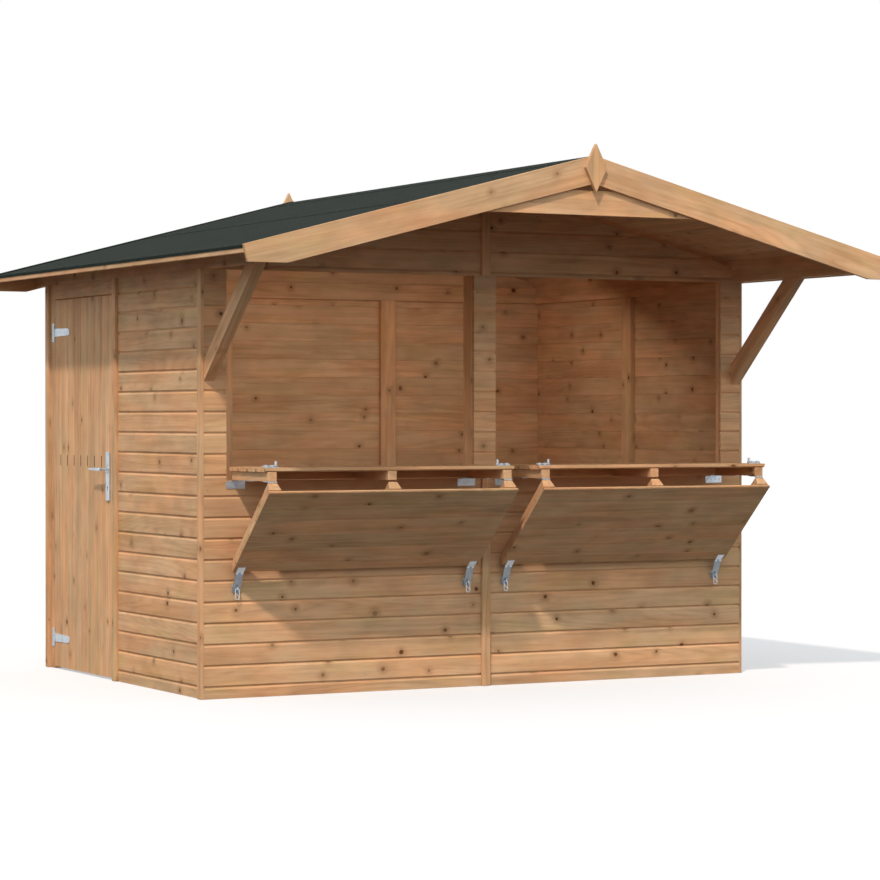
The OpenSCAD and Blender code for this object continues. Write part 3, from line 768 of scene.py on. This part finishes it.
class STALL_OT_roof_boards(bpy.types.Operator):
    """Board the two slopes of the roof"""
    bl_idname = "stall.roof_boards"
    bl_label = "Roof boards"
    bl_options = {"REGISTER", "UNDO"}

    def execute(self, context):
        pitch = context.scene.stall_roof.pitch
        for name, side in SIDES.items():
            node = "roof_boards_" + name
            low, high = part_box(node)
            reach = high.x - low.x
            rise = high.z - low.z - reach * math.tan(pitch)
            thick = rise * math.cos(pitch)
            ridge_z = high.z - rise
            near, far = -ROOF_SPARE, reach / math.cos(pitch) + ROOF_SPARE
            x0, x1 = (near, far) if side > 0 else (-far, -near)
            obj = board_field(node + "_laid", (x0, low.y, ridge_z), (x1, high.y, ridge_z + thick),
                              IY, IX, -1, side * ROOF_JOINT_X, seed=40 + side, trim=False)
            turn(obj, side * pitch, "Y", (0, 0, ridge_z))
            cut(obj, (0, 0, 0), (-side, 0, 0))
            cut(obj, (side * reach, 0, 0), (side, 0, 0))
            finish_piece(obj, spruce("spruce boards along y", Y), "stall", "timber", node)
        return {"FINISHED"}


class STALL_OT_felt(bpy.types.Operator):
    """Lay the felt's laps and ridge strip, and nail them"""
    bl_idname = "stall.felt"
    bl_label = "Felt"
    bl_options = {"REGISTER", "UNDO"}

    def execute(self, context):
        roof = context.scene.stall_roof
        pitch = roof.pitch
        felt = felt_finish()
        for node in ("roof_felt_left", "roof_felt_right"):
            set_finish(node, felt)
        low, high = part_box("roof_felt_right")
        top_z = high.z
        slope_l = (high.x - 3 * FELT_INSET) / math.cos(pitch)
        y0, y1 = low.y + FELT_INSET, high.y - FELT_INSET
        sheets = []
        for side in (-1, 1):
            for reach, lift in ((SHEET_REACH, 0.0), (RIDGE_REACH, roof.lap_t)):
                x0, x1 = sorted((0.0, side * reach))
                sheet = add_box("sheet", (x0, y0, top_z + lift),
                                (x1, y1, top_z + lift + roof.lap_t))
                turn(sheet, side * pitch, "Y", (0, 0, top_z))
                cut(sheet, (0, 0, 0), (-side, 0, 0))
                sheets.append(sheet)
        verge_low, verge_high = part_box("rear_barge_right")
        for side in (-1, 1):
            x0, x1 = sorted((0, side * (slope_l + VERGE_SPARE)))
            sheet = add_box("verge", (x0, verge_low.y - VERGE_LAP, top_z),
                            (x1, verge_high.y - VERGE_INSET, top_z + VERGE_RISE))
            turn(sheet, side * pitch, "Y", (0, 0, top_z))
            cut(sheet, (0, 0, 0), (-side, 0, 0))
            cut(sheet, (side * (verge_high.x - VERGE_END_INSET), 0, 0), (side, 0, 0))
            sheets.append(sheet)
        finish_piece(join("felt_laps", sheets), felt, "stall", "felt")

        nail = add_cylinder(12, roof.nail_r, NAIL_T, (0, 0, NAIL_T / 2))
        edit(nail)
        pick(nail, "FACE", lambda face: face.normal.z > ALIGNED)
        bpy.ops.mesh.inset(thickness=NAIL_RIM)
        bpy.ops.transform.translate(value=(0, 0, NAIL_DOME))
        done()
        places = []
        draw = random.Random(5)
        for side in (-1, 1):
            slope = at(0, 0, top_z) @ turned(side * pitch, "Y")
            rows = ((slope_l - NAIL_INSET, 0.0), (SHEET_REACH - NAIL_LAP_INSET, roof.lap_t),
                    (RIDGE_REACH - NAIL_LAP_INSET, 2 * roof.lap_t))
            row_l = y1 - y0 - 2 * NAIL_INSET
            count = int(row_l / roof.nail_pitch)
            for reach, lift in rows:
                for n in range(count + 1):
                    y = y0 + NAIL_INSET + row_l * n / count
                    y += draw.uniform(-NAIL_STRAY, NAIL_STRAY)
                    x = side * (reach + draw.uniform(-NAIL_STRAY / 2, NAIL_STRAY / 2))
                    places.append(slope @ at(x, y, lift))
            row_l = slope_l - NAIL_VERGE_SPARE
            count = int(row_l / roof.nail_pitch)
            for y in (y0 + NAIL_VERGE_INSET, y1 - NAIL_VERGE_INSET):
                for n in range(count):
                    reach = NAIL_RIDGE_START + row_l * n / count
                    lift = roof.lap_t if reach < SHEET_REACH else 0.0
                    places.append(slope @ at(side * reach, y, lift))
        nails = repeat(nail, places, "felt_nails")
        finish_piece(nails, zinc_finish("tarred nails", 0.05), "stall", "felt")
        return {"FINISHED"}


class STALL_OT_door_boards(bpy.types.Operator):
    """Board the door, with the short slots in its joints at the height of the lever"""
    bl_idname = "stall.door_boards"
    bl_label = "Door boards"
    bl_options = {"REGISTER", "UNDO"}

    def execute(self, context):
        low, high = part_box("door_boards")
        obj = board_field("door_boards_laid", low, high, IZ, IY, -1, DOOR_JOINT_Y, seed=50)
        finish_piece(obj, spruce("spruce boards upright", Z), "door", "timber", "door_boards")
        cover = context.scene.stall_boards.door_cover
        slot = add_box("slot", (low.x - SLOT_PROUD, DOOR_JOINT_Y - SLOT_HALF_W, SLOT_Z[0]),
                       (low.x + SLOT_IN, DOOR_JOINT_Y + SLOT_HALF_W, SLOT_Z[1]))
        edit(slot)
        pick(slot, "FACE", lambda face: face.normal.x < -ALIGNED)
        bpy.ops.mesh.inset(thickness=SLOT_RIM)
        bpy.ops.transform.translate(value=(SLOT_DISH, 0, 0))
        done()
        slots = repeat(slot, [at(0, cover * n, 0) for n in SLOTTED_JOINTS], "door_joint_slots")
        # The slots take painted shade: their near-black stands for the shade inside the joints
        finish_piece(slots, painted_shade_finish(), "door", "timber")
        return {"FINISHED"}


class STALL_OT_leaf_boards(bpy.types.Operator):
    """Board the counters and the support leaves"""
    bl_idname = "stall.leaf_boards"
    bl_label = "Leaf boards"
    bl_options = {"REGISTER", "UNDO"}

    def execute(self, context):
        along_x = spruce("spruce boards along x", X)
        up_leaf = support_frame(1).to_3x3() @ Z
        along_leaf = spruce("spruce support boards", X, 1.15,
                            roll=-math.atan2(up_leaf.z, up_leaf.y))
        eased = context.scene.stall_boards.eased
        for name, side in SIDES.items():
            node = "counter_" + name
            low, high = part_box(node)
            obj = board_field(node + "_boards", low, high, IX, IY, -1, high.y, seed=60 + side)
            finish_piece(obj, along_x, name + "_counter", "timber", node)
            low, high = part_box(node + "_battens")
            rail = add_box(node + "_hinge_rail",
                           (low.x + RAIL_INSET, high.y - RAIL_W, low.z + RAIL_LIFT),
                           (high.x - RAIL_INSET, high.y - RAIL_INSET, high.z))
            edit(rail)
            bpy.ops.mesh.bevel(offset=eased, segments=2, affect="EDGES")
            done()
            mark(rail, RAIL_MARKS[name])
            finish_piece(rail, along_x, name + "_counter", "timber")

            node = "support_" + name
            fold = support_frame(side).translation
            low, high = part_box(node)
            start = fold.z + LEAF_FOLD_GAP
            obj = board_field(node + "_boards", (low.x, fold.y + INNER_FACE - LEAF_T, start),
                              (high.x, fold.y + INNER_FACE, fold.z + SUPPORT_L),
                              IX, IZ, -1, start, seed=70 + side)
            turn(obj, QUARTER + SUPPORT_TURN, "X", fold)
            finish_piece(obj, along_leaf, name + "_support", "timber", node)
        return {"FINISHED"}


class STALL_OT_screws(bpy.types.Operator):
    """Drive the screws of the hinges, hasps, bolts and handle plate"""
    bl_idname = "stall.screws"
    bl_label = "Screws"
    bl_options = {"REGISTER", "UNDO"}

    def model(self):
        """Domed screw head on the face y = 0, with a recess for the driver."""
        head_r, head_t, rim, dome, ring, recess = 0.0038, 0.0014, 0.0014, 0.0005, 0.0009, 0.0012
        screw = add_cylinder(12, head_r, head_t, (0, -head_t / 2, 0), FACING_FRONT)
        edit(screw)
        pick(screw, "FACE", lambda face: face.normal.y < -ALIGNED)
        bpy.ops.mesh.inset(thickness=rim)
        bpy.ops.transform.translate(value=(0, -dome, 0))
        bpy.ops.mesh.inset(thickness=ring)
        extrude((0, recess, 0))
        done()
        return screw

    def execute(self, context):
        flip = turned(math.pi, "Z")
        # Screw holes, from each fitting's own middle or hinge axis
        strap = [at(0, -HINGE_T, z) for z in (0.035, 0.085, 0.135, 0.185)]
        plate = [at(x, -HINGE_T, -0.02) for x in (-0.036, -0.012, 0.012, 0.036)]
        fold = [(x, z) for x in (-0.013, 0.013) for z in (0.024, 0.047)]
        staple_z = staple_place()[1]
        handle = [at(x, -HANDLE_PLATE_T, z) for x in (-0.017, 0.017) for z in (-0.146, 0.076)]
        in_hasp = [(u, v) for u in (-0.012, 0.012) for v in (0.024, 0.008)]
        in_staple = [(u, v) for u in (-0.014, 0.014) for v in (-0.011, 0.011)]
        in_bolt = [(u, v) for u in (0.0045, BOLT_PLATE_L - 0.0135) for v in (-0.0095, 0.0095)]
        rows = {"stall": [], "door": []}
        for z in DOOR_HINGES_Z:
            rows["door"] += [door_hinge_frame(z) @ place for place in strap]
            rows["stall"] += [door_hinge_frame(z) @ place for place in plate]
        rows["door"] += [lever_frame() @ place for place in handle]
        for name, side in SIDES.items():
            counter, support = counter_frame(side), support_frame(side)
            on_counter, on_support = [], []
            for end in (-1, 1):
                x = end * LEAF_BATTEN_X
                wall = at(side * LEAF_MID_X + x, FRONT_Y, SILL_Z)
                rows["stall"] += [wall @ place for place in plate]
                on_counter += [counter @ at(x, KNUCKLE_R, 0) @ place for place in strap]
                on_counter += [counter @ at(x + u, KNUCKLE_R - HINGE_T, COUNTER_L - v)
                               for u, v in fold]
                on_support += [support @ at(x + u, KNUCKLE_R - HINGE_T, v) for u, v in fold]
                hasp = end * HASP_X
                on_support += [support @ at(hasp + u, INNER_FACE + HINGE_T, SUPPORT_L - v) @ flip
                               for u, v in in_hasp]
                rows["stall"] += [at(side * LEAF_MID_X + hasp + u, FRONT_Y - PLATE_T, staple_z + v)
                                  for u, v in in_staple]
                on_counter += [counter @ at(end * (LEAF_W / 2 - HATCH_GAP - u),
                                            INNER_FACE + PLATE_T, COUNTER_L - BOLT_INSET + v) @ flip
                               for u, v in in_bolt]
            rows[name + "_counter"] = on_counter
            rows[name + "_support"] = on_support
        for body, places in rows.items():
            screws = repeat(self.model(), places, "screws_" + body)
            finish_piece(screws, zinc_finish("zinc screws", 1.1), body, "steel")
        return {"FINISHED"}


class STALL_OT_snap_hooks(bpy.types.Operator):
    """Hang a snap hook from each hasp's staple"""
    bl_idname = "stall.snap_hooks"
    bl_label = "Snap hooks"
    bl_options = {"REGISTER", "UNDO"}

    def wire_loop(self, width, height, wire, centre):
        """Long loop of wire that faces the front."""
        deselect()
        bpy.ops.mesh.primitive_torus_add(major_radius=width / 2, minor_radius=wire,
                                         major_segments=28, minor_segments=8,
                                         rotation=FACING_FRONT)
        loop = bpy.context.object
        bpy.ops.object.transform_apply()
        edit(loop)
        for side in (-1, 1):
            pick(loop, "FACE", lambda face: face.calc_center_median().z * side > TOUCHING)
            bpy.ops.transform.translate(value=(0, 0, side * (height - width) / 2))
        done()
        loop.data.transform(Matrix.Translation(centre))
        return loop

    def gate(self, foot, head, radius):
        """Thin rod between two points."""
        way = head - foot
        return add_cylinder(8, radius, way.length, (foot + head) / 2,
                            way.to_track_quat("Z", "Y").to_euler())

    def execute(self, context):
        wire, width, height, room = 0.0017, 0.02, 0.05, 0.0002
        gate_foot, gate_head = 0.02, 0.04
        y, z = staple_place()
        front_y = y - STAPLE_REACH + STAPLE_R + wire + room
        top_z = z - STAPLE_H / 2 + STAPLE_R + 2 * wire
        for name, side in SIDES.items():
            hooks = []
            for end in (-1, 1):
                x = side * LEAF_MID_X + end * HASP_X
                centre = (x, front_y, top_z - wire - height / 2)
                hooks.append(self.wire_loop(width, height, wire, centre))
                hooks.append(self.gate(Vector((x - width / 2, front_y, top_z - gate_foot)),
                                       Vector((x + width / 2, front_y, top_z - gate_head)), wire))
            finish_piece(join("snap_hooks_" + name, hooks), zinc_finish("zinc wire", 1.25),
                         "stall", "steel")
        return {"FINISHED"}


class STALL_OT_keyhole(bpy.types.Operator):
    """Cut the look of a keyhole into the handle plate"""
    bl_idname = "stall.keyhole"
    bl_label = "Keyhole"
    bl_options = {"REGISTER", "UNDO"}

    def execute(self, context):
        hole_r, proud, slot_l, lowest_face, drop = 0.005, 0.0006, 0.012, -0.94, -0.09
        hole = add_cylinder(20, hole_r, proud, (0, -proud / 2, 0), FACING_FRONT)
        edit(hole)
        pick(hole, "FACE", lambda face: face.normal.z < lowest_face)
        extrude((0, 0, -slot_l))
        done()
        hole.name = hole.data.name = "keyhole"
        hole.data.transform(lever_frame() @ at(0, -HANDLE_PLATE_T, drop))
        # The keyhole's near-black is painted shade, for the dark inside the hole
        finish_piece(hole, painted_shade_finish(), "door", "steel")
        return {"FINISHED"}


class STALL_OT_trim_finish(bpy.types.Operator):
    """Finish the framing, trim, battens and steel that keep the part's shapes"""
    bl_idname = "stall.trim_finish"
    bl_label = "Trim finish"
    bl_options = {"REGISTER", "UNDO"}

    def execute(self, context):
        eased = context.scene.stall_boards.eased
        pitch = context.scene.stall_roof.pitch
        falls_right = Vector((math.cos(pitch), 0, -math.sin(pitch)))
        falls_left = Vector((math.cos(pitch), 0, math.sin(pitch)))
        up_leaf = (support_frame(1).to_3x3() @ Z).normalized()
        rows = (
            ("trim upright", Z, 1.0, 1.0, ("door_jambs", "wall_studs", "cover_battens")),
            ("trim along x", X, 1.0, 1.0, ("cross_rails",)),
            ("trim along y", Y, 1.0, 1.0,
             ("door_header", "side_rails", "wall_plates", "eaves_boards", "door_ledges",
              "counter_left_battens", "counter_right_battens")),
            ("trim falling right", falls_right, 0.7, 1.07,
             ("front_barge_right", "rear_barge_right")),
            ("trim falling left", falls_left, 0.7, 1.07,
             ("front_barge_left", "rear_barge_left")),
            # The opening studs are painted 1.2 times lighter, for the light that reaches their
            # sides in the openings
            ("opening studs painted lighter", Z, 0.7, 1.2, ("opening_studs",)),
            ("finials", Z, 0.2, 1.1, ("finials",)),
            # The collar is painted 1.15 times lighter, for more light on it
            ("collar", X, 0.7, 1.15, ("collar_board",)),
            ("braces", BRACE_WAY, 0.8, 1.0, ("braces",)),
            ("support battens", up_leaf, 0.8, 1.0,
             ("support_left_battens", "support_right_battens")),
            ("door braces", DOOR_BRACE_WAY, 0.8, 1.0, ("door_braces",)),
        )
        for label, grain, knots, tint, nodes in rows:
            material = spruce("spruce " + label, grain, knots, tint)
            for node in nodes:
                set_finish(node, material, eased)
        for node in ("wall_fittings", "door_fittings", "door_lever", "counter_left_fittings",
                     "counter_right_fittings", "support_left_fittings", "support_right_fittings"):
            set_finish(node, zinc_finish(), STEEL_EASED)
        # The hasps take zinc at 0.45 of its colour, painted darker for the shade they hang in
        for node in ("hasps_left", "hasps_right"):
            set_finish(node, zinc_finish("zinc in painted shade", 0.45), STEEL_EASED)
        return {"FINISHED"}


def shown_rays(tree):
    """1 for a ray of the camera, of a reflection or through a clear material, else 0."""
    seen = add_node(tree, "LightPath").outputs
    shown = calc(tree, "MAXIMUM", seen["Is Camera Ray"], seen["Is Glossy Ray"])
    return calc(tree, "MAXIMUM", shown, seen["Is Transmission Ray"])


class STALL_OT_stage(bpy.types.Operator):
    """Set the floor, the lights, the white surroundings and the camera"""
    bl_idname = "stall.stage"
    bl_label = "Stage"
    bl_options = {"REGISTER", "UNDO"}

    def execute(self, context):
        stage = context.scene.stall_stage
        deselect()
        bpy.ops.mesh.primitive_plane_add(size=FLOOR_SIZE, location=(0, 0, -FLOOR_DROP))
        floor = context.object
        bpy.ops.object.transform_apply()
        floor.name = floor.data.name = "floor"
        material, tree, shader = new_material("pale floor")
        tree.nodes.remove(shader)
        dim = add_node(tree, "BsdfDiffuse", {"Color": [stage.bounce] * 3 + [1]}).outputs[0]
        plain = add_node(tree, "BsdfDiffuse", {"Color": [stage.floor] * 3 + [1]}).outputs[0]
        lift = add_node(tree, "Emission", {"Color": LIFT_COLOUR, "Strength": LIFT}).outputs[0]
        both = add_node(tree, "AddShader", {0: plain, 1: lift}).outputs[0]
        blend = add_node(tree, "MixShader", {0: shown_rays(tree), 1: dim, 2: both}).outputs[0]
        tree.links.new(blend, tree.nodes["Material Output"].inputs["Surface"])
        floor.data.materials.append(material)

        world = context.scene.world or bpy.data.worlds.new("Surroundings")
        context.scene.world = world
        world.use_nodes = True
        tree = world.node_tree
        tree.nodes.clear()
        way = add_node(tree, "TexCoord").outputs["Generated"]
        toward = add_node(tree, "SeparateXYZ", {0: way}).outputs
        front = times(tree, toward["Y"], -GLOW_FROM_FRONT, GLOW)
        band = times(tree, span(tree, toward["Z"], 0.75, 0.3),
                     span(tree, toward["Z"], 0.0, 0.25))
        glow = times(tree, band, front)
        strength = times(tree, calc(tree, "ADD", glow, EVEN_LIGHT), stage.fill)
        lit = add_node(tree, "Background", {"Color": SKY_COLOUR, "Strength": strength}).outputs[0]
        white = add_node(tree, "Background", {"Color": (1, 1, 1, 1), "Strength": 1.0}).outputs[0]
        blend = add_node(tree, "MixShader", {0: shown_rays(tree), 1: lit, 2: white}).outputs[0]
        add_node(tree, "OutputWorld", {"Surface": blend})

        deselect()
        bpy.ops.object.light_add(type="SUN", location=SUN_PLACE)
        sun = context.object
        sun.name = "key light"
        sun.rotation_euler = Vector(SUN_WAY).to_track_quat("-Z", "Y").to_euler()
        sun.data.energy = stage.sun
        sun.data.angle = stage.softness
        sun.data.color = SUN_COLOUR

        deselect()
        bpy.ops.object.light_add(type="AREA", location=INSIDE_PLACE, rotation=INSIDE_TURN)
        inside = context.object
        inside.name = "inside light"
        inside.data.shape = "RECTANGLE"
        inside.data.size, inside.data.size_y = INSIDE_SIZE
        inside.data.energy = stage.inside
        inside.data.color = INSIDE_COLOUR
        inside.visible_camera = inside.visible_glossy = False

        deselect()
        bpy.ops.object.camera_add(location=CAMERA_PLACE, rotation=CAMERA_TURN)
        camera = context.object
        camera.data.lens = CAMERA_LENS
        camera.data.sensor_width = CAMERA_FILM
        camera.data.clip_end = CAMERA_REACH
        context.scene.camera = camera
        context.scene.view_settings.view_transform = "Standard"
        return {"FINISHED"}


OPERATORS = (STALL_OT_wall_boards, STALL_OT_roof_boards, STALL_OT_felt, STALL_OT_door_boards,
             STALL_OT_leaf_boards, STALL_OT_screws, STALL_OT_snap_hooks, STALL_OT_keyhole,
             STALL_OT_trim_finish, STALL_OT_stage)
SETTINGS = {"stall_boards": StallBoards, "stall_roof": StallRoof, "stall_finish": StallFinish,
            "stall_stage": StallStage}


class STALL_PT_looks(bpy.types.Panel):
    """Settings and steps of the stall's looks"""
    bl_label = "Market stall"
    bl_idname = "STALL_PT_looks"
    bl_space_type = "VIEW_3D"
    bl_region_type = "UI"
    bl_category = "Stall"

    def draw(self, context):
        for name, kind in SETTINGS.items():
            box = self.layout.box()
            settings = getattr(context.scene, name)
            for key in kind.__annotations__:
                box.prop(settings, key)
        for operator in OPERATORS:
            self.layout.operator(operator.bl_idname)


def register():
    for kind in (*SETTINGS.values(), *OPERATORS, STALL_PT_looks):
        bpy.utils.register_class(kind)
    for name, kind in SETTINGS.items():
        setattr(bpy.types.Scene, name, bpy.props.PointerProperty(type=kind))


def unregister():
    for name in SETTINGS:
        delattr(bpy.types.Scene, name)
    for kind in reversed((*SETTINGS.values(), *OPERATORS, STALL_PT_looks)):
        bpy.utils.unregister_class(kind)


def main():
    register()
    for operator in OPERATORS:
        getattr(bpy.ops.stall, operator.bl_idname.split(".")[1])()
    deselect()


if __name__ == "__main__":
    main()
